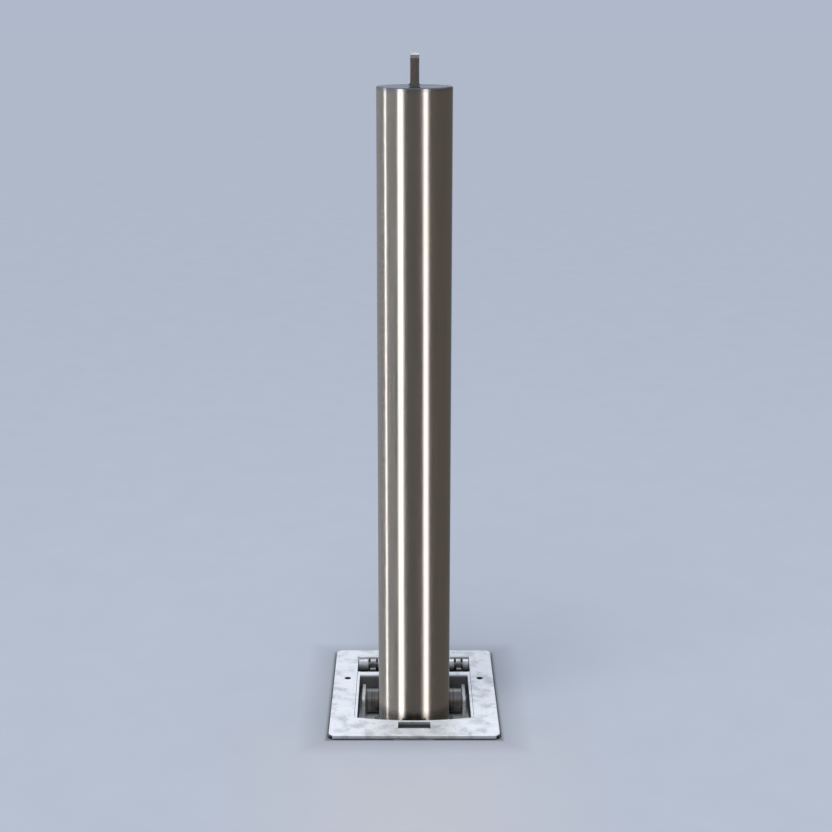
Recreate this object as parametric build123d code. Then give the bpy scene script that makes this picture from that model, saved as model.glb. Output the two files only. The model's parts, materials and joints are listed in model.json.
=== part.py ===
from build123d import *
import os

# Removable bollard in its ground socket, in millimetres
# The origin is on the post's axis at ground level, +Z is up and -Y is the lock side

# Post
post_diameter = 114.3
post_wall = 2.6
post_height = 994.0
post_root = 300.0
cap_thickness = 6.0
cap_edge = 1.2

# Handle bar, bent from flat stock and welded on the cap
handle_length = 96.0
handle_height = 48.5
handle_width = 13.0
handle_stock = 7.0
handle_bend = 5.5
handle_weld = 2.5

# Foot of the post
foot_thickness = 8.0
pad_diameter = 104.0
pad_thickness = 8.0
pad_screw_diameter = 8.0
pad_screw_length = 14.0
pad_head_diameter = 16.0
pad_head_height = 4.0
pad_head_depth = 6.0

# Ground frame
frame_width = 268.0
frame_front = 117.0
frame_rear = 218.5
frame_thickness = 6.0
frame_corner = 12.0
frame_edge = 1.0
seam_width = 0.7
seam_depth = 1.0
fixing_inset = 23.0
fixing_hole = 11.0
fixing_y = 100.0
key_slot_length = 51.0
key_slot_width = 24.5
key_slot_y = -80.0
key_slot_corner = 2.5

# Pit under the frame
pit_border = 39.0
pit_corner = 12.0
pit_front = 57.0
bow_front = 63.0
bow_rise = 10.5
pit_rear = 189.0
pit_depth = 52.0
side_wall = 4.0
front_wall = 2.0
rear_wall = 4.0
floor_thickness = 6.0
post_clearance = 2.85
pocket_drop = 24.0
cross_y = 113.5
cross_thickness = 13.0
cross_height = 23.0
cross_edge = 1.0

# Side plates that carry the guide roller
plate_thickness = 5.0
plate_side_gap = 5.0
plate_drop = 17.5
plate_front = 53.0
plate_rear = 130.0
plate_corner = 5.0
plate_clearance = 0.5

# Guide roller
roller_diameter = 40.0
roller_wall = 6.0
roller_z = -23.6
roller_gap = 0.6
roller_end_gap = 0.5
axle_diameter = 16.0
axle_end = 1.3
axle_clearance = 0.08
bush_length = 20.0
washer_diameter = 30.0
washer_thickness = 1.5
clip_thickness = 1.2
clip_depth = 1.0
clip_rim = 3.0

# Hinge for the loose lid
hinge_diameter = 24.0
hinge_proud = 1.0
hinge_rear_gap = 0.8
hinge_pin_diameter = 12.0
hinge_play = 0.05
hinge_end_gap = 0.5
left_lug_inset = 25.3
left_lug_width = 9.5
right_lug_inset = 17.9
right_lug_width = 8.0
lug_side_gap = 3.6
lug_depth = 48.0
lug_stop_width = 6.5
lug_stop_top = 4.0
lug_shoulder = 3.0

# Buried socket
socket_side = 140.0
socket_wall = 5.0
socket_corner = 8.0
base_side = 160.0
base_thickness = 8.0
drain_diameter = 14.0
drain_spacing = 104.0
rod_diameter = 12.0
rod_depth = 180.0
rod_reach = 60.0
rod_drop = 55.0

# Lock
lock_travel = 14.0
lock_swing = 90.0
lock_setback = 1.35
bolt_thickness = 10.0
bolt_width = 18.0
bolt_top = -20.0
bolt_nose = 22.25
bolt_edge = 1.0
tail_width = 34.0
tail_length = 13.5
tail_slot_offset = 6.25
pin_diameter = 6.0
pin_play = 0.6
bolt_play = 0.4
hole_play = 4.0
case_width = 64.0
case_length = 39.0
case_floor = 12.0
case_corner = 4.0
cover_thickness = 3.0
cover_drop = 6.0
plug_diameter = 18.0
plug_play = 0.1
tang_side = 9.0
cam_thickness = 3.5
cam_gap = 0.5
key_radius = 5.0
key_depth = 6.0
cover_screw_diameter = 4.0
cover_screw_length = 10.0
cover_screw_inset = 4.0
cover_head_diameter = 7.0
cover_head_height = 2.4
case_screw_diameter = 6.0
case_screw_length = 16.0
case_screw_spacing = 50.0
case_screw_drop = 8.0
case_head_diameter = 11.5
case_head_height = 3.0
keeper_wall = 4.0
keeper_width = 46.0
keeper_height = 44.0
fit_gap = 0.05

# Levels and lines that several pieces share
post_radius = post_diameter / 2
tube_bore = post_radius - post_wall
passage_radius = post_radius + post_clearance
frame_top = frame_thickness
fixing_spacing = frame_width - 2 * fixing_inset
pit_outer = frame_width / 2 - pit_border
pit_half = pit_outer - side_wall
floor_top = frame_top - pit_depth
floor_bottom = floor_top - floor_thickness
rim_rear = pit_corner - pit_front
front_outer = -bow_front - front_wall
bow_radius = (pit_half**2 + bow_rise**2) / (2 * bow_rise)
rear_outer = pit_rear + rear_wall
cross_rear = cross_y + cross_thickness
pocket_top = frame_top - pocket_drop
plate_far = pit_half - plate_side_gap
plate_near = plate_far - plate_thickness
roller_half = plate_near - washer_thickness - roller_end_gap
axle_half = plate_far + clip_thickness + axle_end
roller_radius = roller_diameter / 2
roller_y = post_radius + roller_gap + roller_radius
axle_radius = axle_diameter / 2
left_lug_x = left_lug_inset - pit_outer
right_lug_x = pit_outer - right_lug_inset
hinge_radius = hinge_diameter / 2
hinge_y = pit_rear - hinge_rear_gap - hinge_radius
hinge_z = frame_top + hinge_proud - hinge_radius
socket_half = socket_side / 2
socket_inner = socket_half - socket_wall
seat_z = -post_root - pad_thickness
cover_top = -cover_drop
case_top = cover_top - cover_thickness
bolt_bottom = bolt_top - bolt_thickness
case_bottom = bolt_bottom - case_floor
case_front = front_outer - case_length
case_mid_y = (case_front + front_outer) / 2
bolt_tip = -post_radius - lock_setback
tail_front = bolt_tip - bolt_nose
tail_rear = tail_front - tail_length
tail_slot_y = tail_front - tail_slot_offset
plug_y = tail_slot_y + lock_travel / 2
cam_bottom = bolt_top + cam_gap
cam_top = cam_bottom + cam_thickness
vertical = Axis.Z


def sine(degrees):
    """Sine of an angle in degrees."""
    return Vector(1, 0, 0).rotate(vertical, degrees).Y


def cosine(degrees):
    """Cosine of an angle in degrees."""
    return Vector(1, 0, 0).rotate(vertical, degrees).X


crank = lock_travel / 2 / sine(lock_swing / 2)
cam_radius = crank + pin_diameter / 2 + cam_gap


def upright(radius, low, high, x=0, y=0):
    """Round bar along Z between two levels."""
    return Pos(x, y, low) * extrude(Circle(radius), amount=high - low)


def crosswise(radius, left, right, y, z):
    """Round bar along X between two sides."""
    disc = Plane((left, y, z), x_dir=(0, 1, 0), z_dir=(1, 0, 0)) * Circle(radius)
    return extrude(disc, amount=right - left)


def layer(sketch, low, high):
    """Flat shape drawn in plan, between two levels."""
    return Pos(0, 0, low) * extrude(sketch, amount=high - low)


def plan(left, right, front, rear):
    """Rectangle in plan between its four sides."""
    centre = Pos((left + right) / 2, (front + rear) / 2)
    return centre * Rectangle(right - left, rear - front)


def side_profile(sketch, left, right):
    """Flat shape drawn in side view, Y and Z, between two sides."""
    return extrude(Plane((left, 0, 0), x_dir=(0, 1, 0), z_dir=(1, 0, 0)) * sketch, amount=right - left)


def outline(points):
    """Closed straight-sided face through the points."""
    return make_face(Polyline(*points, close=True))


def make_post_tube():
    """Round tube with the hole that the lock bolt enters."""
    low = -post_root
    high = post_height - cap_thickness
    tube = upright(post_radius, low, high) - upright(tube_bore, low, high)
    return tube - bolt_hole(post_radius)


def bolt_hole(reach):
    """Block cut from the front wall for the bolt's nose."""
    half = bolt_width / 2 + hole_play
    hole = plan(-half, half, -reach - post_wall, -reach / 2)
    return layer(hole, bolt_bottom - hole_play, bolt_top + hole_play)


def make_top_cap():
    """Flat disc on the tube's upper end, with an eased edge."""
    cap = upright(post_radius, post_height - cap_thickness, post_height)
    return chamfer(cap.edges().group_by(vertical)[-1], cap_edge)


def handle_foot_y():
    """Distance of each handle leg's middle from the post's axis."""
    return (handle_length - handle_stock) / 2


def make_lift_handle():
    """Flat bar bent to a hoop, its two legs standing on the cap."""
    half = handle_foot_y()
    crown = post_height + handle_height - handle_stock / 2
    corners = [(0, -half, post_height), (0, -half, crown), (0, half, crown), (0, half, post_height)]
    path = FilletPolyline(*corners, radius=handle_bend)
    section = Pos(0, -half, post_height) * Rectangle(handle_width, handle_stock)
    return sweep(section, path=path)


def make_handle_welds():
    """Fillet weld round each leg of the handle."""
    beads = []
    for side in (-1, 1):
        foot = Pos(0, side * handle_foot_y(), post_height)
        leg = Rectangle(handle_width, handle_stock)
        bead = extrude(Rectangle(handle_width + 2 * handle_weld, handle_stock + 2 * handle_weld),
                       amount=handle_weld, taper=45)
        beads.append(foot * (bead - extrude(leg, amount=handle_weld)))
    return Part() + beads


def make_lock_keeper():
    """Curved plate behind the bolt hole, inside the tube."""
    low = (bolt_top + bolt_bottom - keeper_height) / 2
    high = low + keeper_height
    outer = tube_bore - fit_gap
    ring = upright(outer, low, high) - upright(outer - keeper_wall, low, high)
    window = layer(plan(-keeper_width / 2, keeper_width / 2, -post_radius, 0), low, high)
    return (ring & window) - bolt_hole(post_radius)


def make_foot_plate():
    """Disc that closes the tube's lower end."""
    low = -post_root
    disc = upright(tube_bore - fit_gap, low, low + foot_thickness)
    return disc - upright(pad_screw_diameter / 2 + fit_gap, low, low + foot_thickness)


def make_foot_pad():
    """Rubber disc that the post stands on."""
    high = -post_root
    pad = upright(pad_diameter / 2, seat_z, high)
    pad -= upright(pad_head_diameter / 2 + fit_gap, seat_z, seat_z + pad_head_depth)
    return pad - upright(pad_screw_diameter / 2 + fit_gap, seat_z, high)


def make_pad_screw():
    """Screw through the pad into the foot plate."""
    head_top = seat_z + pad_head_depth
    head = upright(pad_head_diameter / 2, head_top - pad_head_height, head_top)
    shank = upright(pad_screw_diameter / 2, head_top, head_top + pad_screw_length)
    return head + shank


def pit_outline(inset):
    """Plan of the pit's walls, rounded in front, moved inwards by an inset."""
    half = pit_outer - inset
    front = inset - pit_front
    whole = plan(-half, half, front, rear_outer - inset)
    front_corners = whole.vertices().group_by(Axis.Y)[0]
    return fillet(front_corners, pit_corner - inset)


def front_bow():
    """Plan of the bowed room in front of the post."""
    disc = Pos(0, bow_radius - bow_front) * Circle(bow_radius)
    return disc & plan(-pit_half, pit_half, -bow_front, rim_rear)


def make_frame_plate():
    """Plate that lies on the ground, with its openings."""
    middle = (frame_rear - frame_front) / 2
    outer = Pos(0, middle) * RectangleRounded(frame_width, frame_front + frame_rear, frame_corner)
    plate = layer(outer, 0, frame_top)
    plate = chamfer(plate.edges().group_by(vertical)[-1], frame_edge)
    plate -= layer(pit_outline(0), 0, frame_top)
    plate -= layer(front_bow(), 0, frame_top)
    plate -= layer(pit_outline(-seam_width), frame_top - seam_depth, frame_top)
    slot = Pos(0, key_slot_y) * RectangleRounded(key_slot_length, key_slot_width, key_slot_corner)
    plate -= layer(slot, 0, frame_top)
    for side in (-1, 1):
        plate -= upright(fixing_hole / 2, 0, frame_top, side * fixing_spacing / 2, fixing_y)
    return plate


def make_pit_side_wall(side):
    """Side wall, lower beside the hinge than beside the post."""
    points = [
        (rim_rear, floor_top),
        (pit_rear, floor_top),
        (pit_rear, pocket_top),
        (cross_rear, pocket_top),
        (cross_rear, frame_top),
        (rim_rear, frame_top),
    ]
    near = side * pit_half
    far = side * pit_outer
    return side_profile(outline(points), min(near, far), max(near, far))


def make_pit_front_wall():
    """Front wall with rounded corners, bowed out in front of the post."""
    rim = (pit_outline(0) - pit_outline(side_wall)) & plan(-pit_outer, pit_outer, -pit_front, rim_rear)
    wall = layer(rim, floor_top, frame_top)
    wall += layer(plan(-pit_outer, pit_outer, front_outer, -pit_front), floor_top, 0)
    wall -= layer(front_bow(), floor_top, frame_top)
    half = bolt_width / 2 + bolt_play
    wall -= layer(plan(-half, half, front_outer, 0), bolt_bottom - bolt_play, bolt_top + bolt_play)
    return wall - case_screw_solids(fit_gap, bow_front - pit_front)


def make_pit_rear_wall():
    """Rear wall behind the hinge."""
    return layer(plan(-pit_outer, pit_outer, pit_rear, rear_outer), floor_top, frame_top)


def make_cross_wall():
    """Bar across the pit between the post and the hinge."""
    bar = layer(plan(-pit_half, pit_half, cross_y, cross_rear), frame_top - cross_height, frame_top)
    long_edges = bar.edges().filter_by(Axis.X).group_by(vertical)[-1]
    return chamfer(long_edges, cross_edge)


def make_pit_floor():
    """Floor with the mouth over the socket."""
    sheet = plan(-pit_outer, pit_outer, front_outer, rear_outer)
    mouth = plan(-socket_inner, socket_inner, -passage_radius, socket_inner)
    return layer(sheet - mouth, floor_bottom, floor_top)


def make_side_plate(side):
    """Upright plate beside the post that holds the roller's axle."""
    top = frame_top - plate_drop
    step = frame_top - cross_height - plate_clearance
    points = [
        (plate_front, floor_top),
        (plate_rear, floor_top),
        (plate_rear, step),
        (cross_y, step),
        (cross_y, top),
        (plate_front, top),
    ]
    near = side * plate_near
    far = side * plate_far
    plate = side_profile(outline(points), min(near, far), max(near, far))
    top_edges = plate.edges().filter_by(Axis.X).group_by(vertical)[-1]
    plate = fillet(top_edges.sort_by(Axis.Y)[0], plate_corner)
    return plate - crosswise(axle_radius + fit_gap, -pit_half, pit_half, roller_y, roller_z)


def make_roller_axle():
    """Fixed axle with a groove near each end."""
    axle = crosswise(axle_radius, -axle_half, axle_half, roller_y, roller_z)
    return axle - clip_rings(axle_radius + clip_rim)


def clip_rings(outer):
    """Pair of rings outside the side plates, in the axle's grooves."""
    rings = []
    for low in (plate_far, -plate_far - clip_thickness):
        ring = crosswise(outer, low, low + clip_thickness, roller_y, roller_z)
        rings.append(ring - crosswise(axle_radius - clip_depth, low, low + clip_thickness, roller_y, roller_z))
    return Part() + rings


def make_axle_washers():
    """Washer between the roller and each side plate."""
    rings = []
    for low in (plate_near - washer_thickness, -plate_near):
        high = low + washer_thickness
        ring = crosswise(washer_diameter / 2, low, high, roller_y, roller_z)
        rings.append(ring - crosswise(axle_radius + axle_clearance, low, high, roller_y, roller_z))
    return Part() + rings


def make_guide_roller():
    """Tube that turns on the axle behind the post."""
    bore = roller_radius - roller_wall
    return (crosswise(roller_radius, -roller_half, roller_half, roller_y, roller_z)
            - crosswise(bore, -roller_half, roller_half, roller_y, roller_z))


def make_roller_bushes():
    """Plain bearing pressed into each end of the roller."""
    outer = roller_radius - roller_wall - fit_gap
    inner = axle_radius + axle_clearance
    bushes = []
    for low in (-roller_half, roller_half - bush_length):
        high = low + bush_length
        bush = crosswise(outer, low, high, roller_y, roller_z)
        bushes.append(bush - crosswise(inner, low, high, roller_y, roller_z))
    return Part() + bushes


def make_hinge_lug(middle, width):
    """Eye on a post that stands on the pit floor, with a lid stop in front."""
    rear = hinge_y + hinge_radius
    front = rear - lug_depth
    stop_rear = front + lug_stop_width
    shoulder = hinge_z - lug_shoulder
    points = [
        (front, floor_top),
        (rear, floor_top),
        (rear, hinge_z),
        (hinge_y, hinge_z),
        (hinge_y - hinge_radius, shoulder),
        (stop_rear, shoulder),
        (stop_rear, lug_stop_top),
        (front, lug_stop_top),
    ]
    profile = outline(points) + Pos(hinge_y, hinge_z) * Circle(hinge_radius)
    profile -= Pos(hinge_y, hinge_z) * Circle(hinge_pin_diameter / 2 + hinge_play)
    return side_profile(profile, middle - width / 2, middle + width / 2)


def make_hinge_sleeve(left, right):
    """Short tube on the hinge pin."""
    sleeve = crosswise(hinge_radius, left, right, hinge_y, hinge_z)
    return sleeve - crosswise(hinge_pin_diameter / 2 + hinge_play, left, right, hinge_y, hinge_z)


def make_hinge_pin():
    """Pin through the lugs and sleeves."""
    half = pit_outer - hinge_end_gap
    return crosswise(hinge_pin_diameter / 2, -half, half, hinge_y, hinge_z)


def hinge_sleeve_spans():
    """Left and right ends of the three sleeves, by name."""
    half = pit_outer - hinge_end_gap
    left_low = left_lug_x - left_lug_width / 2 - lug_side_gap
    left_high = left_lug_x + left_lug_width / 2 + lug_side_gap
    right_low = right_lug_x - right_lug_width / 2 - lug_side_gap
    right_high = right_lug_x + right_lug_width / 2 + lug_side_gap
    return {"left": (-half, left_low), "middle": (left_high, right_low), "right": (right_high, half)}


def make_socket_tube():
    """Square hollow section that the post's root stands in."""
    outer = RectangleRounded(2 * socket_half, 2 * socket_half, socket_corner)
    inner = RectangleRounded(2 * socket_inner, 2 * socket_inner, socket_corner - socket_wall)
    return layer(outer - inner, seat_z, floor_bottom)


def make_socket_base():
    """Plate under the socket, with a drain hole in each corner of the socket."""
    plate = layer(RectangleRounded(base_side, base_side, socket_corner), seat_z - base_thickness, seat_z)
    half = drain_spacing / 2
    for x, y in [(-half, -half), (-half, half), (half, -half), (half, half)]:
        plate -= upright(drain_diameter / 2, seat_z - base_thickness, seat_z, x, y)
    return plate


def make_anchor_rods():
    """Four bent bars that hold the socket in the concrete."""
    start = Vector(socket_half, 0, -rod_depth)
    out = start + Vector(rod_reach, 0, 0)
    down = out - Vector(0, 0, rod_drop)
    path = Polyline(start, out, down)
    section = Plane(start, x_dir=(0, 1, 0), z_dir=(1, 0, 0)) * Circle(rod_diameter / 2)
    rod = sweep(section, path=path, transition=Transition.RIGHT)
    return Part() + [Rot(0, 0, quarter * 90) * rod for quarter in range(4)]


def case_outline():
    """Plan of the lock case and its cover."""
    return Pos(0, case_mid_y) * RectangleRounded(case_width, case_length, case_corner)


def cover_screw_places():
    """Centres of the four cover screws."""
    half_x = case_width / 2 - cover_screw_inset
    half_y = case_length / 2 - cover_screw_inset
    return [(x, case_mid_y + y) for x in (-half_x, half_x) for y in (-half_y, half_y)]


def make_lock_case():
    """Block behind the pit's front wall, hollow for the bolt and the cam."""
    block = layer(case_outline(), case_bottom, case_top)
    half = tail_width / 2 + bolt_play
    track = plan(-half, half, tail_rear - cam_gap, front_outer)
    block -= layer(track, bolt_bottom - bolt_play, bolt_top + bolt_play)
    block -= upright(cam_radius + cam_gap, bolt_top, case_top, 0, plug_y)
    for x, y in cover_screw_places():
        block -= upright(cover_screw_diameter / 2 + fit_gap, case_top - cover_screw_length, case_top, x, y)
    return block - case_screw_solids(fit_gap)


def make_lock_cover():
    """Plate over the case, with the hole for the key plug."""
    cover = layer(case_outline(), case_top, cover_top)
    cover -= upright(plug_diameter / 2 + plug_play, case_top, cover_top, 0, plug_y)
    for x, y in cover_screw_places():
        cover -= upright(cover_screw_diameter / 2 + fit_gap, case_top, cover_top, x, y)
    return cover


def make_cover_screws():
    """Four screws that hold the cover on the case."""
    screws = []
    for x, y in cover_screw_places():
        low = cover_top - cover_screw_length
        shank = upright(cover_screw_diameter / 2, low, cover_top, x, y)
        head = Pos(x, y) * RegularPolygon(cover_head_diameter / 2, 6)
        screws.append(shank + layer(head, cover_top, cover_top + cover_head_height))
    return Part() + screws


def case_screw_solids(spare=0.0, access=0.0):
    """Two countersunk screws through the front wall, or their holes with spare room and access."""
    screws = []
    z = bolt_bottom - case_screw_drop
    for side in (-1, 1):
        x = side * case_screw_spacing / 2
        face = Plane((x, -bow_front, z), x_dir=(1, 0, 0), z_dir=(0, -1, 0))
        shank = extrude(face * Circle(case_screw_diameter / 2 + spare), amount=case_screw_length)
        head = face * Circle(case_head_diameter / 2 + spare)
        screw = shank + extrude(head, amount=case_head_height, taper=40)
        if access:
            screw += extrude(head, amount=-access)
        screws.append(screw)
    return Part() + screws


def make_key_plug():
    """Round plug with a three-cornered key recess and a square tang."""
    plug = upright(plug_diameter / 2, cam_top, cover_top, 0, plug_y)
    tang = Pos(0, plug_y) * Rectangle(tang_side, tang_side)
    recess = Pos(0, plug_y) * RegularPolygon(key_radius, 3)
    return plug + layer(tang, cam_bottom, cam_top) - layer(recess, cover_top - key_depth, cover_top)


def make_lock_cam():
    """Disc on the tang, with the crank pin that drives the bolt."""
    tang = Pos(0, plug_y) * Rectangle(tang_side, tang_side)
    disc = upright(cam_radius, cam_bottom, cam_top, 0, plug_y) - layer(tang, cam_bottom, cam_top)
    x = crank * cosine(lock_swing / 2)
    y = plug_y - crank * sine(lock_swing / 2)
    return disc + upright(pin_diameter / 2, bolt_bottom + bolt_edge, cam_bottom, x, y)


def make_lock_bolt():
    """Sliding bolt: a nose for the post and a slotted tail for the crank pin."""
    nose = plan(-bolt_width / 2, bolt_width / 2, tail_front, bolt_tip)
    tail = plan(-tail_width / 2, tail_width / 2, tail_rear, tail_front)
    reach = pin_diameter / 2 + pin_play
    left = crank * cosine(lock_swing / 2) - reach
    right = crank + reach
    slot = Pos((left + right) / 2, tail_slot_y) * RectangleRounded(right - left, 2 * reach, reach - fit_gap)
    bolt = layer(nose + tail, bolt_bottom, bolt_top)
    tip_edges = bolt.faces().sort_by(Axis.Y)[-1].edges()
    return chamfer(tip_edges, bolt_edge) - layer(slot, bolt_bottom, bolt_top)


# Every piece under its own name
pieces = {
    "post_tube": make_post_tube(),
    "top_cap": make_top_cap(),
    "lift_handle": make_lift_handle(),
    "handle_welds": make_handle_welds(),
    "lock_keeper": make_lock_keeper(),
    "foot_plate": make_foot_plate(),
    "foot_pad": make_foot_pad(),
    "pad_screw": make_pad_screw(),
    "frame_plate": make_frame_plate(),
    "pit_wall_left": make_pit_side_wall(-1),
    "pit_wall_right": make_pit_side_wall(1),
    "pit_wall_front": make_pit_front_wall(),
    "pit_wall_rear": make_pit_rear_wall(),
    "cross_wall": make_cross_wall(),
    "pit_floor": make_pit_floor(),
    "side_plate_left": make_side_plate(-1),
    "side_plate_right": make_side_plate(1),
    "roller_axle": make_roller_axle(),
    "axle_clips": clip_rings(axle_radius + clip_rim),
    "axle_washers": make_axle_washers(),
    "guide_roller": make_guide_roller(),
    "roller_bushes": make_roller_bushes(),
    "hinge_lug_left": make_hinge_lug(left_lug_x, left_lug_width),
    "hinge_lug_right": make_hinge_lug(right_lug_x, right_lug_width),
    "hinge_pin": make_hinge_pin(),
    "socket_tube": make_socket_tube(),
    "socket_base": make_socket_base(),
    "anchor_rods": make_anchor_rods(),
    "lock_case": make_lock_case(),
    "lock_cover": make_lock_cover(),
    "cover_screws": make_cover_screws(),
    "case_screws": case_screw_solids(),
    "key_plug": make_key_plug(),
    "lock_cam": make_lock_cam(),
    "lock_bolt": make_lock_bolt(),
}
for place, (left, right) in hinge_sleeve_spans().items():
    pieces["hinge_sleeve_" + place] = make_hinge_sleeve(left, right)

os.makedirs("parts", exist_ok=True)
for name, piece in pieces.items():
    export_step(piece, "parts/" + name + ".step")
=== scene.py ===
import json
import math

import bpy
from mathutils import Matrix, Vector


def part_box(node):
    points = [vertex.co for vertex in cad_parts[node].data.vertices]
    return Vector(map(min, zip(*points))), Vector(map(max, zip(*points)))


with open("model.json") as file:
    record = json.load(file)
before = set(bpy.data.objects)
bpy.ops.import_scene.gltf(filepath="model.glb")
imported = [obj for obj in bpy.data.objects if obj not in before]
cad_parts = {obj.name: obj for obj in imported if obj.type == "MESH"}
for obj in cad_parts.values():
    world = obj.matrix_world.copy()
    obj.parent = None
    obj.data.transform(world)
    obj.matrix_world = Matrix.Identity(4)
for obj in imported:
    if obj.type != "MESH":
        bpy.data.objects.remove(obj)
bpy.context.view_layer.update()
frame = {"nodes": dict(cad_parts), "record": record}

WHITE = (1.0, 1.0, 1.0)
BLACK = (0.0, 0.0, 0.0)

# Camera, as fitted to the photograph
PICTURE_SIDE = 832
FOCAL_PIXELS = 1614.0
PRINCIPAL_X = 407.6
PRINCIPAL_Y = 378.6
SENSOR_WIDTH = 36.0
CAMERA_PLACE = (-0.0104, -2.426, 1.130)
CAMERA_PITCH = 13.48
LEVEL_TURN = 90.0

# Backdrop and ground
BACKDROP_COLOUR = (0.43, 0.485, 0.595)
FLOOR_COLOUR = (0.485, 0.512, 0.555)
FLOOR_REACH = 60.0
FLOOR_CORNER = 30.0
FLOOR_LEVEL = -0.0004
HOLE_DEPTH = 0.40
JOINT_WIDTH = 0.0015
PLATE_CORNER = 0.012
CORNER_STEPS = 8
GROUND_ROUGH = 1.0
GROUND_SPECULAR = 0.0

# Painted shade of the ground round the frame, its cloudy tone and its warm patch of painted bounce light
GROUND_SHADE = 0.78
GROUND_SHADE_REACH = 0.050
CONTACT_SHADE = 0.5
CONTACT_REACH = 0.0065
GROUND_CLOUD = (9.0, 4.0, 0.6)
GROUND_CLOUD_SHARES = (0.985, 1.012)
WARM_BOUNCE_TONE = (1.09, 1.035, 0.985)
WARM_BOUNCE_PLACE = (0.0, -0.34)
WARM_BOUNCE_SPAN = (0.05, 0.30)

# Lamps, with each turn in degrees
SUN_PLACE = (0.0, 0.0, 5.0)
SUN_TURN = (28.0, -14.0, 0.0)
SUN_STRENGTH = 1.7
SUN_SPREAD = 45.0
TOP_LIGHT_PLACE = (0.0, -0.3, 2.8)
TOP_LIGHT_TURN = (-6.0, 0.0, 0.0)
TOP_LIGHT_SIDE = 1.4
TOP_LIGHT_RADIANCE = 1.4

# Heights and distances of the cards that the steel reflects, and the high card's rise from the front
CARD_STEP = 5.0
SURROUND_DISTANCE = 4.0
SURROUND_HEIGHTS = (-4.0, 4.0)
SURROUND_RADIANCE = 1.0
STRIP_DISTANCE = 2.6
STRIP_HEIGHTS = (-2.2, 2.3)
HIGH_CARD_RISE = 128.0
HIGH_CARD_DISTANCE = 2.6
HIGH_CARD_SIDE = 1.2
HIGH_CARD_RADIANCE = 3.0

# Each strip card: azimuth from the camera's side, width in degrees, radiance, colour and lean in degrees
STRIPS = (
    (-98.0, 3.2, 6.4, (1.0, 0.99, 0.98), 4.0),
    (-42.5, 16.0, 3.2, (1.0, 0.99, 0.98), 4.0),
    (35.6, 13.5, 2.8, (1.0, 0.95, 0.935), 18.0),
)

# Each surround card: first and last azimuth from the camera's side, and its colour
SURROUNDS = (
    (-62.0, 20.0, (0.145, 0.139, 0.133)),
    (20.0, 158.0, (0.148, 0.134, 0.121)),
    (158.0, 202.0, (0.27, 0.30, 0.36)),
    (-158.0, -62.0, (0.36, 0.37, 0.385)),
)

# Each noise: scale, detail and roughness. A span is the part of its range that is spread out
NOISE_SPAN = (0.3, 0.7)
EVEN_SCALE = (1.0, 1.0, 1.0)
UPRIGHT_GRAIN = (900.0, 900.0, 6.0)
CROSS_GRAIN = (6.0, 500.0, 500.0)
RING_GRAIN = (330.0, 8.0, 8.0)

# Brushed steel
BRUSH_NOISE = (1.0, 4.0, 0.6)
BRUSH_STOPS = (0.3, 0.7)
BRUSH_SHARES = (0.88, 1.1)
BRUSH_ROUGH_SHARES = (0.85, 1.2)
CAP_STOPS = (0.5, 0.9)

# Rings of the roller, and a painted highlight band along it
RING_NOISE = (1.0, 3.0, 0.6)
RING_STOPS = (0.36, 0.64)
RING_SHARES = (0.62, 1.35)
HIGHLIGHT_BAND_HEIGHT = 0.78
HIGHLIGHT_BAND_REACH = 0.007
HIGHLIGHT_BAND_SHARE = 2.1

# Zinc coat: clouds and dimples
CLOUD_DETAIL = 5.0
CLOUD_ROUGHNESS = 0.62
CLOUD_STOPS = (0.34, 0.5, 0.66)
CLOUD_MIDDLE_SHARE = 0.94
CLOUD_ROUGH_SHARES = (1.15, 0.85)
DIMPLES_PER_CLOUD = 2.5
DIMPLE_DETAIL = 4.0
DIMPLE_ROUGHNESS = 0.6
DIMPLE_STRENGTH = 0.25
DIMPLE_DEPTH = 0.0004

# Speckled metals and plastics
SPECKLE_NOISE = (220.0, 5.0, 0.6)
SPECKLE_STOPS = (0.35, 0.65)
SPECKLE_SHARES = (0.75, 1.2)
SPECKLE_ROUGH_SHARES = (0.85, 1.15)
SPECKLE_STRENGTH = 0.2
SPECKLE_DEPTH = 0.0002

# Frame plate: shares of its tone in the holes, in the slot, on its outer faces and at its foot, each a
# painted shade
HOLE_SHADE_SHARE = 0.03
SLOT_SHADE_SHARE = 0.28
FACE_SHADE_SHARE = 0.48
FOOT_SHADE_SHARE = 0.12
HOLE_FADE = (0.0011, 0.0004)
SLOT_PLACE = (0.0, -0.080)
SLOT_HALF = (0.030, 0.016)
SLOT_SPAN = (0.0, 0.001)
PLATE_RIM = 0.0015
RIM_SPAN = (0.0, 0.0001)
FOOT_SPAN = (0.0, 0.0022)
SPECK_NOISE = (210.0, 2.0, 0.5)
SPECK_SPAN = (0.66, 0.74)
SPECK_SHARE = 0.6
STAIN_TONE = (0.90, 0.87, 0.83)
STAIN_PLACE = (0.0, -0.095)
STAIN_HALF = (0.055, 0.0275)
STAIN_SPAN = (-0.02, 0.03)

# Pit floor, with painted shade towards the rear
PIT_FLOOR_SHADE_SHARES = (0.80, 0.20)
PIT_FLOOR_SHADE_SPAN = (0.070, 0.100)

# Tones
POST_TONE = (0.51, 0.48, 0.447)
CAP_SIDE_TONE = (0.40, 0.41, 0.44)
# Darker blue-grey of the cap's level top is a painted reflection
CAP_TOP_PAINTED_REFLECTION = (0.17, 0.195, 0.24)
HANDLE_TONE = (0.37, 0.355, 0.35)
ROLLER_TONE = (0.155, 0.15, 0.145)
AXLE_TONE = (0.17, 0.165, 0.16)
ZINC_PALE = (0.93, 0.95, 0.97)
ZINC_DARK = (0.66, 0.685, 0.71)
FRAME_DARK_SHARE = 0.88
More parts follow.
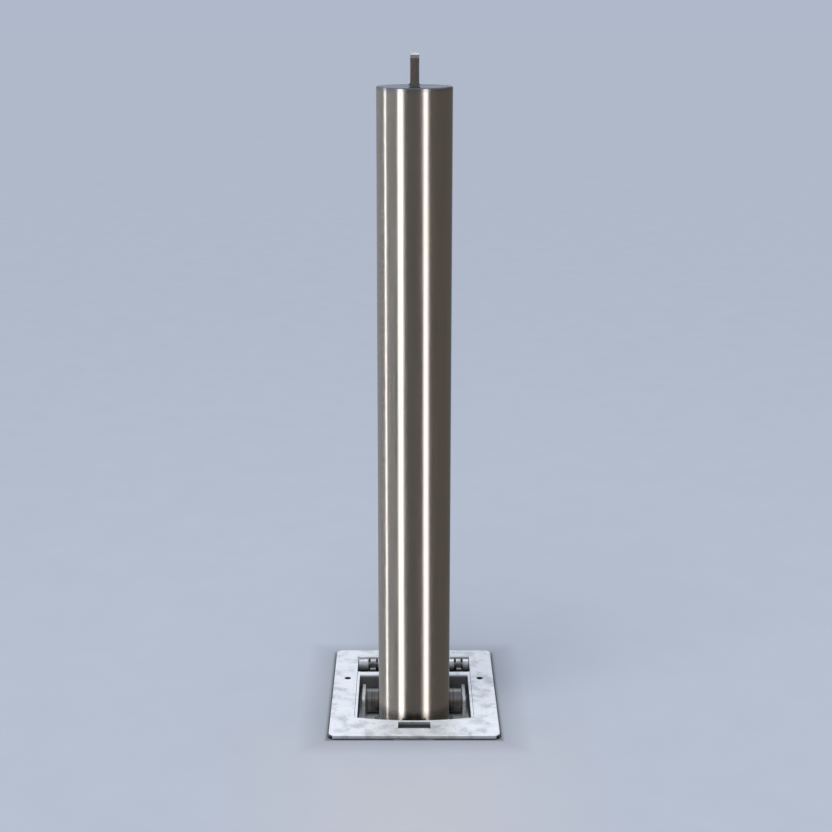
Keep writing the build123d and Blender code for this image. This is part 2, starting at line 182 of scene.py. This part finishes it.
# Share of the zinc tone left on the side plates, a painted shade
SIDE_PLATE_SHADE_SHARE = 0.8
PIT_PALE = (0.62, 0.62, 0.60)
PIT_DARK = (0.36, 0.36, 0.34)
SLEEVE_PALE = (0.62, 0.64, 0.66)
SLEEVE_DARK = (0.34, 0.35, 0.36)


def node_material(name):
    """New material with its node tree and its principled shader."""
    material = bpy.data.materials.new(name)
    material.use_nodes = True
    tree = material.node_tree
    return material, tree, tree.nodes["Principled BSDF"]


def noise(tree, vector, scale, detail, roughness):
    """Noise texture node fed by a vector socket."""
    node = tree.nodes.new("ShaderNodeTexNoise")
    node.inputs["Scale"].default_value = scale
    node.inputs["Detail"].default_value = detail
    node.inputs["Roughness"].default_value = roughness
    tree.links.new(vector, node.inputs["Vector"])
    return node.outputs["Fac"]


def ramp(tree, value, places, colours):
    """Colour ramp node with a colour at each place."""
    node = tree.nodes.new("ShaderNodeValToRGB")
    elements = node.color_ramp.elements
    while len(elements) < len(places):
        elements.new(places[1])
    for element, place, colour in zip(elements, places, colours):
        element.position = place
        element.color = (*colour, 1.0)
    tree.links.new(value, node.inputs["Fac"])
    return node.outputs["Color"]


def stretch(tree, scale):
    """Object coordinates multiplied along each axis."""
    source = tree.nodes.new("ShaderNodeTexCoord")
    node = tree.nodes.new("ShaderNodeMapping")
    node.inputs["Scale"].default_value = scale
    tree.links.new(source.outputs["Object"], node.inputs["Vector"])
    return node.outputs["Vector"]


def object_axes(tree):
    """Sockets with the three object coordinates."""
    source = tree.nodes.new("ShaderNodeTexCoord")
    split = tree.nodes.new("ShaderNodeSeparateXYZ")
    tree.links.new(source.outputs["Object"], split.inputs["Vector"])
    return split.outputs


def spread(tree, value, targets, span):
    """Value moved from a span to a range of targets, and held at its ends."""
    node = tree.nodes.new("ShaderNodeMapRange")
    node.inputs["From Min"].default_value = span[0]
    node.inputs["From Max"].default_value = span[1]
    node.inputs["To Min"].default_value = targets[0]
    node.inputs["To Max"].default_value = targets[1]
    tree.links.new(value, node.inputs["Value"])
    return node.outputs["Result"]


def node_maths(tree, operation, first, second):
    """Maths node with two inputs, each a socket or a number."""
    node = tree.nodes.new("ShaderNodeMath")
    node.operation = operation
    for socket, value in zip(node.inputs, (first, second)):
        if isinstance(value, float):
            socket.default_value = value
        else:
            tree.links.new(value, socket)
    return node.outputs["Value"]


def away_from(tree, value, middle):
    """Distance of a value from a middle."""
    return node_maths(tree, "ABSOLUTE", node_maths(tree, "SUBTRACT", value, middle), 0.0)


def reach_outside(tree, centre, half):
    """Distance outside a rectangle in plan, negative inside it."""
    place = object_axes(tree)
    sides = []
    for axis, middle, size in zip("XY", centre, half):
        sides.append(node_maths(tree, "SUBTRACT", away_from(tree, place[axis], middle), size))
    return node_maths(tree, "MAXIMUM", *sides)


def multiplied(tree, tone, level):
    """Tone multiplied by a level socket."""
    mix = tree.nodes.new("ShaderNodeMix")
    mix.data_type = "RGBA"
    mix.blend_type = "MULTIPLY"
    mix.inputs["Factor"].default_value = 1.0
    tree.links.new(tone, mix.inputs[6])
    tree.links.new(level, mix.inputs[7])
    return mix.outputs[2]


def sink(tree, tone, high, low, share):
    """Tone that darkens with depth, from its full value at one level to a share of it at a lower one."""
    return multiplied(tree, tone, spread(tree, object_axes(tree)["Z"], (share, 1.0), (low, high)))


def bump(tree, shader, height, strength, distance):
    """Bump on a shader's normal."""
    node = tree.nodes.new("ShaderNodeBump")
    node.inputs["Strength"].default_value = strength
    node.inputs["Distance"].default_value = distance
    tree.links.new(height, node.inputs["Height"])
    tree.links.new(node.outputs["Normal"], shader.inputs["Normal"])


def tinted(colour, share):
    """Colour made lighter or darker by a share."""
    return tuple(min(1.0, channel * share) for channel in colour)


def two_tones(colour, shares):
    """Two colours, each a share of one."""
    return [tinted(colour, share) for share in shares]


def two_levels(value, shares):
    """Two numbers, each a share of one."""
    return [value * share for share in shares]


def current_tone(shader):
    """Socket that now feeds a shader's colour."""
    return shader.inputs["Base Color"].links[0].from_socket


def brushed(name, colour, rough, grain, depth=None):
    """Brushed metal with its grain drawn out along one axis, darker towards the bottom where a depth is
    given.
    """
    material, tree, shader = node_material(name)
    lines = noise(tree, stretch(tree, grain), *BRUSH_NOISE)
    tone = ramp(tree, lines, BRUSH_STOPS, two_tones(colour, BRUSH_SHARES))
    if depth:
        tone = sink(tree, tone, *depth)
    tree.links.new(tone, shader.inputs["Base Color"])
    roughness = spread(tree, lines, two_levels(rough, BRUSH_ROUGH_SHARES), NOISE_SPAN)
    tree.links.new(roughness, shader.inputs["Roughness"])
    shader.inputs["Metallic"].default_value = 1.0
    return material


def turned(name, colour, rough, grain):
    """Turned metal with rings round the roller, and a lighter band along it that is a painted highlight."""
    material, tree, shader = node_material(name)
    lines = noise(tree, stretch(tree, grain), *RING_NOISE)
    tone = ramp(tree, lines, RING_STOPS, two_tones(colour, RING_SHARES))
    low, high = (corner[2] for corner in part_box("guide_roller"))
    # Painted highlight: a lighter band along the roller at a fixed height on it
    away = away_from(tree, object_axes(tree)["Z"], low + (high - low) * HIGHLIGHT_BAND_HEIGHT)
    tone = multiplied(tree, tone, spread(tree, away, (HIGHLIGHT_BAND_SHARE, 1.0), (0.0, HIGHLIGHT_BAND_REACH)))
    tree.links.new(tone, shader.inputs["Base Color"])
    shader.inputs["Roughness"].default_value = rough
    shader.inputs["Metallic"].default_value = 1.0
    return material


def capped(name, side, top, rough):
    """Metal whose level faces are painted a darker tone of their own, a painted reflection."""
    material, tree, shader = node_material(name)
    source = tree.nodes.new("ShaderNodeNewGeometry")
    split = tree.nodes.new("ShaderNodeSeparateXYZ")
    tree.links.new(source.outputs["Normal"], split.inputs["Vector"])
    # Painted reflection: the level faces take the darker top tone
    tree.links.new(ramp(tree, split.outputs["Z"], CAP_STOPS, (side, top)), shader.inputs["Base Color"])
    shader.inputs["Roughness"].default_value = rough
    shader.inputs["Metallic"].default_value = 1.0
    return material


def speckled(name, colour, metallic, rough):
    """Fine uneven tone and a lightly pitted surface."""
    material, tree, shader = node_material(name)
    cloud = noise(tree, stretch(tree, EVEN_SCALE), *SPECKLE_NOISE)
    tone = ramp(tree, cloud, SPECKLE_STOPS, two_tones(colour, SPECKLE_SHARES))
    tree.links.new(tone, shader.inputs["Base Color"])
    roughness = spread(tree, cloud, two_levels(rough, SPECKLE_ROUGH_SHARES), NOISE_SPAN)
    tree.links.new(roughness, shader.inputs["Roughness"])
    shader.inputs["Metallic"].default_value = metallic
    bump(tree, shader, cloud, SPECKLE_STRENGTH, SPECKLE_DEPTH)
    return material


def zinc_coat(name, pale, dark, patch, metallic, rough):
    """Zinc coat with cloudy patches of two tones."""
    material, tree, shader = node_material(name)
    place = stretch(tree, EVEN_SCALE)
    cloud = noise(tree, place, patch, CLOUD_DETAIL, CLOUD_ROUGHNESS)
    tone = ramp(tree, cloud, CLOUD_STOPS, (dark, tinted(pale, CLOUD_MIDDLE_SHARE), pale))
    tree.links.new(tone, shader.inputs["Base Color"])
    roughness = spread(tree, cloud, two_levels(rough, CLOUD_ROUGH_SHARES), NOISE_SPAN)
    tree.links.new(roughness, shader.inputs["Roughness"])
    shader.inputs["Metallic"].default_value = metallic
    dimples = noise(tree, place, patch * DIMPLES_PER_CLOUD, DIMPLE_DETAIL, DIMPLE_ROUGHNESS)
    bump(tree, shader, dimples, DIMPLE_STRENGTH, DIMPLE_DEPTH)
    return material, tree, shader


def galvanised(name, pale, dark, patch, metallic, rough, depth):
    """Zinc coat darkened with depth, a painted shade down in the pit."""
    material, tree, shader = zinc_coat(name, pale, dark, patch, metallic, rough)
    # Painted shade: the tone darkens with depth into the pit
    tree.links.new(sink(tree, current_tone(shader), *depth), shader.inputs["Base Color"])
    return material


def plan_of(node):
    """Centre and half sizes of a node in plan."""
    low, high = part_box(node)
    centre = [(low[axis] + high[axis]) / 2 for axis in range(2)]
    half = [(high[axis] - low[axis]) / 2 for axis in range(2)]
    return centre, half


def frame_finish(name, *coat):
    """Zinc coat of the frame plate, with painted shade on the walls of its openings, on its outer faces and
    at its foot.
    """
    material, tree, shader = zinc_coat(name, *coat)
    centre, half = plan_of("frame_plate")
    half = [size - PLATE_RIM for size in half]
    # Painted shade: dark walls in the holes and the slot, and darker outer faces
    outside = spread(tree, reach_outside(tree, centre, half), (HOLE_SHADE_SHARE, FACE_SHADE_SHARE), RIM_SPAN)
    height = object_axes(tree)["Z"]
    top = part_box("frame_plate")[1][2]
    near_top = spread(tree, height, (0.0, 1.0), [top - depth for depth in HOLE_FADE])
    slot_shade = spread(tree, reach_outside(tree, SLOT_PLACE, SLOT_HALF), (SLOT_SHADE_SHARE, 0.0), SLOT_SPAN)
    level = node_maths(tree, "MAXIMUM", node_maths(tree, "MAXIMUM", near_top, outside), slot_shade)
    # Painted shade along the foot of the plate, where it meets the ground
    foot = spread(tree, height, (FOOT_SHADE_SHARE, 1.0), FOOT_SPAN)
    specks = noise(tree, stretch(tree, EVEN_SCALE), *SPECK_NOISE)
    specks = spread(tree, specks, (1.0, SPECK_SHARE), SPECK_SPAN)
    stain = spread(tree, reach_outside(tree, STAIN_PLACE, STAIN_HALF), (0.0, 1.0), STAIN_SPAN)
    stain = ramp(tree, stain, (0.0, 1.0), (STAIN_TONE, WHITE))
    tone = current_tone(shader)
    for share in (specks, level, foot, stain):
        tone = multiplied(tree, tone, share)
    tree.links.new(tone, shader.inputs["Base Color"])
    rough = shader.inputs["Roughness"].links[0].from_socket
    rough = node_maths(tree, "MAXIMUM", rough, node_maths(tree, "SUBTRACT", 1.0, level))
    tree.links.new(rough, shader.inputs["Roughness"])
    return material


def pit_floor_finish(name, *coat):
    """Zinc coat with painted shade towards the rear of the pit."""
    material, tree, shader = zinc_coat(name, *coat)
    # Painted shade: darker towards the rear of the pit
    level = spread(tree, object_axes(tree)["Y"], PIT_FLOOR_SHADE_SHARES, PIT_FLOOR_SHADE_SPAN)
    tree.links.new(multiplied(tree, current_tone(shader), level), shader.inputs["Base Color"])
    return material


# Each depth is the level of full tone, the level of full darkening and the share of the tone left there; on
# the parts in the pit this darkening is painted shade.
# Each zinc coat has its pale and dark tones, the scale of its clouds, its metallic share and its roughness
slot_finishes = {
    "post_steel": brushed("post_steel", POST_TONE, 0.19, UPRIGHT_GRAIN, (0.019, 0.005, 0.42)),
    "cap_steel": capped("cap_steel", CAP_SIDE_TONE, CAP_TOP_PAINTED_REFLECTION, 0.22),
    "galvanised": galvanised("galvanised", ZINC_PALE, ZINC_DARK, 45.0, 0.25, 0.42, (0.0054, 0.001, 0.13)),
    "pit_steel": galvanised("pit_steel", PIT_PALE, PIT_DARK, 60.0, 0.4, 0.5, (0.004, -0.030, 0.8)),
    "roller_steel": brushed("roller_steel", AXLE_TONE, 0.42, CROSS_GRAIN),
    "dark_steel": speckled("dark_steel", (0.05, 0.05, 0.052), 0.6, 0.45),
    "lock_brass": speckled("lock_brass", (0.42, 0.33, 0.16), 1.0, 0.35),
    "bearing": speckled("bearing", (0.06, 0.06, 0.055), 0.0, 0.5),
    "pad_rubber": speckled("pad_rubber", (0.03, 0.03, 0.03), 0.0, 0.8),
}
# Lugs and hinge sleeves darken with depth as painted shade, lit at the top and shaded below
lug_finish = galvanised("lug_finish", PIT_PALE, PIT_DARK, 60.0, 0.5, 0.35, (0.0068, 0.0020, 0.16))
# Side plates: a darker copy of the zinc, painted shade down in the pit
side_plate_tones = (tinted(ZINC_PALE, SIDE_PLATE_SHADE_SHARE), tinted(ZINC_DARK, SIDE_PLATE_SHADE_SHARE))
side_plate_finish = galvanised("plate_finish", *side_plate_tones, 60.0, 0.3, 0.45, (0.004, -0.030, 0.9))
sleeve_finish = galvanised("sleeve_finish", SLEEVE_PALE, SLEEVE_DARK, 90.0, 0.5, 0.34, (0.0058, -0.009, 0.07))
frame_tones = (ZINC_PALE, tinted(ZINC_DARK, FRAME_DARK_SHARE))

# Pieces whose finish differs from their slot's
own_finishes = {
    "lift_handle": brushed("handle_finish", HANDLE_TONE, 0.26, UPRIGHT_GRAIN),
    "handle_welds": speckled("weld_finish", (0.16, 0.15, 0.145), 1.0, 0.5),
    "guide_roller": turned("roller_finish", ROLLER_TONE, 0.42, RING_GRAIN),
    "hinge_lug_left": lug_finish,
    "hinge_lug_right": lug_finish,
    "hinge_sleeve_left": sleeve_finish,
    "hinge_sleeve_middle": sleeve_finish,
    "hinge_sleeve_right": sleeve_finish,
    "side_plate_left": side_plate_finish,
    "side_plate_right": side_plate_finish,
    "pit_floor": pit_floor_finish("pit_floor_finish", ZINC_PALE, ZINC_DARK, 60.0, 0.2, 0.5),
    "lock_cover": galvanised("cover_finish", ZINC_PALE, ZINC_DARK, 60.0, 0.2, 0.5, (0.0, -0.010, 0.9)),
    "frame_plate": frame_finish("frame_finish", *frame_tones, 42.0, 0.25, 0.42),
}

# Pieces that the post doesn't mirror
unmirrored = (
    "frame_plate", "pit_wall_front", "pit_wall_left", "pit_wall_right", "side_plate_left",
    "side_plate_right", "lock_cover",
)

# Widths of the eased edges that catch the light, the angle from which an edge is eased, and the steps
eased = {
    "frame_plate": 0.0006, "pit_wall_front": 0.0006, "pit_wall_left": 0.0006, "pit_wall_right": 0.0006,
    "cross_wall": 0.0005, "top_cap": 0.0008, "lift_handle": 0.0008, "side_plate_left": 0.0006,
    "side_plate_right": 0.0006, "hinge_sleeve_left": 0.0007, "hinge_sleeve_middle": 0.0007,
    "hinge_sleeve_right": 0.0007, "hinge_lug_left": 0.0006, "hinge_lug_right": 0.0006,
    "guide_roller": 0.0008,
}
EASED_ANGLE = 40.0
EASED_STEPS = 2


def dress():
    """Gives every CAD node its finish, and eases some of the edges."""
    for part in frame["record"]["subparts"]:
        piece = frame["nodes"][part["node"]]
        piece.data.materials.clear()
        piece.data.materials.append(own_finishes.get(part["node"], slot_finishes[part["material_slot"]]))
    for node in unmirrored:
        frame["nodes"][node].visible_glossy = False
    for node, width in eased.items():
        bevel = frame["nodes"][node].modifiers.new("eased", "BEVEL")
        bevel.width = width
        bevel.segments = EASED_STEPS
        bevel.limit_method = "ANGLE"
        bevel.angle_limit = math.radians(EASED_ANGLE)
        bevel.harden_normals = True


def glow(name, colour, radiance):
    """Emission material that isn't sampled as a lamp."""
    material = bpy.data.materials.new(name)
    material.use_nodes = True
    tree = material.node_tree
    tree.nodes.clear()
    shader = tree.nodes.new("ShaderNodeEmission")
    shader.inputs["Color"].default_value = (*colour, 1.0)
    shader.inputs["Strength"].default_value = radiance
    output = tree.nodes.new("ShaderNodeOutputMaterial")
    tree.links.new(shader.outputs["Emission"], output.inputs["Surface"])
    material.cycles.emission_sampling = "NONE"
    return material


def mesh_piece(name, points, faces, material):
    """Mesh object from points and faces."""
    mesh = bpy.data.meshes.new(name)
    mesh.from_pydata(points, [], faces)
    mesh.materials.append(material)
    piece = bpy.data.objects.new(name, mesh)
    bpy.context.scene.collection.objects.link(piece)
    return piece


def rounded_outline(low, high, corner, level):
    """Points round a rectangle with round corners, counterclockwise from the front left."""
    points = []
    for number in range(4):
        across = high[0] - corner if number in (1, 2) else low[0] + corner
        along = high[1] - corner if number > 1 else low[1] + corner
        for step in range(CORNER_STEPS + 1):
            angle = math.radians(180 + 90 * (number + step / CORNER_STEPS))
            points.append((across + corner * math.cos(angle), along + corner * math.sin(angle), level))
    return points


def ground_finish(name):
    """Cloudy ground, with painted shade close to the frame and painted warm bounce light in front of it."""
    material, tree, shader = node_material(name)
    away = reach_outside(tree, *plan_of("frame_plate"))
    shade = spread(tree, away, (GROUND_SHADE, 1.0), (0.0, GROUND_SHADE_REACH))
    contact = spread(tree, away, (CONTACT_SHADE, 1.0), (JOINT_WIDTH, CONTACT_REACH))
    cloud = noise(tree, stretch(tree, EVEN_SCALE), *GROUND_CLOUD)
    cloud = spread(tree, cloud, GROUND_CLOUD_SHARES, NOISE_SPAN)
    # Painted bounce light: a warmer, lighter patch in front of the frame
    warm = spread(tree, reach_outside(tree, WARM_BOUNCE_PLACE, (0.0, 0.0)), (0.0, 1.0), WARM_BOUNCE_SPAN)
    warm = ramp(tree, warm, (0.0, 1.0), (WARM_BOUNCE_TONE, WHITE))
    tone = ramp(tree, shade, (0.0, 1.0), (BLACK, FLOOR_COLOUR))
    for share in (cloud, contact, warm):
        tone = multiplied(tree, tone, share)
    tree.links.new(tone, shader.inputs["Base Color"])
    shader.inputs["Roughness"].default_value = GROUND_ROUGH
    shader.inputs["Specular IOR Level"].default_value = GROUND_SPECULAR
    return material


def make_floor():
    """Ground with the pit's hole, so that the buried part lies below it."""
    low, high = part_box("frame_plate")
    low = (low[0] - JOINT_WIDTH, low[1] - JOINT_WIDTH)
    high = (high[0] + JOINT_WIDTH, high[1] + JOINT_WIDTH)
    corner = PLATE_CORNER + JOINT_WIDTH
    hole = rounded_outline(low, high, corner, FLOOR_LEVEL)
    bottom = rounded_outline(low, high, corner, FLOOR_LEVEL - HOLE_DEPTH)
    reach = (FLOOR_REACH, FLOOR_REACH)
    around = rounded_outline((-FLOOR_REACH, -FLOOR_REACH), reach, FLOOR_CORNER, FLOOR_LEVEL)
    count = len(hole)
    faces = []
    for step in range(count):
        after = (step + 1) % count
        faces.append((step, after, 2 * count + after, 2 * count + step))
        faces.append((step, after, count + after, count + step))
    faces.append(tuple(range(count, 2 * count)))
    floor = mesh_piece("floor", hole + bottom + around, faces, ground_finish("floor"))
    floor.visible_glossy = False


def reflected_card(name, points, faces, colour, radiance):
    """Card of even light that only reflections show."""
    piece = mesh_piece(name, points, faces, glow(name, colour, radiance))
    piece.visible_camera = False
    piece.visible_diffuse = False
    piece.visible_shadow = False


def curved_card(name, distance, azimuths, heights, colour, radiance, lean=0.0):
    """Card curved round the post, which may lean sideways."""
    first, last = azimuths
    low, high = heights
    steps = max(1, round((last - first) / CARD_STEP))
    points = []
    for step in range(steps + 1):
        azimuth = first + (last - first) * step / steps
        for level, turn in ((low, lean / 2), (high, -lean / 2)):
            angle = math.radians(azimuth + turn)
            points.append((distance * math.sin(angle), -distance * math.cos(angle), level))
    faces = [(2 * step, 2 * step + 2, 2 * step + 3, 2 * step + 1) for step in range(steps)]
    reflected_card(name, points, faces, colour, radiance)


def make_cards():
    """Dim surround and bright strips that the post reflects."""
    for number, (first, last, colour) in enumerate(SURROUNDS):
        name = "surround_%d" % number
        curved_card(name, SURROUND_DISTANCE, (first, last), SURROUND_HEIGHTS, colour, SURROUND_RADIANCE)
    for number, (azimuth, width, radiance, colour, lean) in enumerate(STRIPS):
        name = "strip_%d" % number
        azimuths = (azimuth - width / 2, azimuth + width / 2)
        curved_card(name, STRIP_DISTANCE, azimuths, STRIP_HEIGHTS, colour, radiance, lean)


def make_high_card():
    """Bright card high behind the post, for the light along rounded tops."""
    angle = math.radians(HIGH_CARD_RISE)
    half = HIGH_CARD_SIDE / 2
    middle = (-HIGH_CARD_DISTANCE * math.cos(angle), HIGH_CARD_DISTANCE * math.sin(angle))
    points = []
    for across, up in ((-half, -half), (half, -half), (half, half), (-half, half)):
        points.append((across, middle[0] + up * math.sin(angle), middle[1] + up * math.cos(angle)))
    reflected_card("high_card", points, [(0, 1, 2, 3)], WHITE, HIGH_CARD_RADIANCE)


def lamp(name, kind, place, turn):
    """New lamp at a place, turned by three angles in degrees, that neither camera nor reflections show."""
    light = bpy.data.lights.new(name, kind)
    item = bpy.data.objects.new(name, light)
    item.location = place
    item.rotation_euler = tuple(math.radians(angle) for angle in turn)
    item.visible_camera = False
    item.visible_glossy = False
    bpy.context.scene.collection.objects.link(item)
    return light


def make_lights():
    """Soft daylight from above."""
    sun = lamp("sun", "SUN", SUN_PLACE, SUN_TURN)
    sun.energy = SUN_STRENGTH
    sun.angle = math.radians(SUN_SPREAD)
    top = lamp("top", "AREA", TOP_LIGHT_PLACE, TOP_LIGHT_TURN)
    top.size = TOP_LIGHT_SIDE
    top.energy = TOP_LIGHT_RADIANCE * math.pi * TOP_LIGHT_SIDE ** 2


def make_world():
    """Even backdrop of one colour."""
    world = bpy.data.worlds.new("backdrop")
    world.use_nodes = True
    background = world.node_tree.nodes["Background"]
    background.inputs["Color"].default_value = (*BACKDROP_COLOUR, 1.0)
    background.inputs["Strength"].default_value = 1.0
    bpy.context.scene.world = world


def make_camera():
    """Camera at the photograph's angle."""
    camera = bpy.data.cameras.new("camera")
    camera.sensor_width = SENSOR_WIDTH
    camera.lens = SENSOR_WIDTH * FOCAL_PIXELS / PICTURE_SIDE
    camera.shift_x = (PICTURE_SIDE / 2 - PRINCIPAL_X) / PICTURE_SIDE
    camera.shift_y = (PRINCIPAL_Y - PICTURE_SIDE / 2) / PICTURE_SIDE
    item = bpy.data.objects.new("camera", camera)
    item.location = CAMERA_PLACE
    item.rotation_euler = (math.radians(LEVEL_TURN - CAMERA_PITCH), 0.0, 0.0)
    bpy.context.scene.collection.objects.link(item)
    bpy.context.scene.camera = item


dress()
make_floor()
make_cards()
make_high_card()
make_lights()
make_world()
make_camera()
bpy.context.scene.view_settings.view_transform = "Standard"
